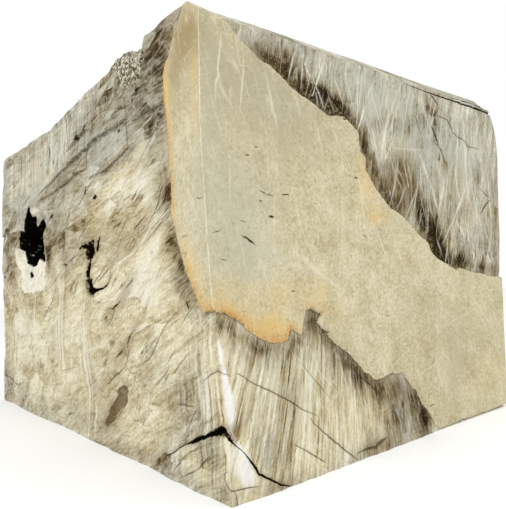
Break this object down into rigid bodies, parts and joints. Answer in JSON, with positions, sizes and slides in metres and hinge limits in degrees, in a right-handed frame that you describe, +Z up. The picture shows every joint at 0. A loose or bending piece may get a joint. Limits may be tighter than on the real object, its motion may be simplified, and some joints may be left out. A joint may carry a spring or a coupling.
{
  "type": "quartzite block",
  "caption": "Rough box-shaped block of natural quartzite with cleft faces, bedding ledges, cracks, a deep cavity and a smooth tan rind around one corner.",
  "frame": {"origin": "centre of the block's box on the ground plane, at the underside", "axes": "+Z up; -Y out of the face with the tan rind; -X out of the cleft face with the cavity; +Y along the block's longest side"},
  "size_m": [1.9502, 2.5296, 1.6459],
  "materials": {
    "quartzite": "cleft quartzite: matte grey and cream rock with pale fibrous streaks, dark fissures, and a smoother tan rind with pale hairlines and ochre stains"
  },
  "bodies": {
    "root": {"quartzite_block": "quartzite"}
  },
  "joints": []
}
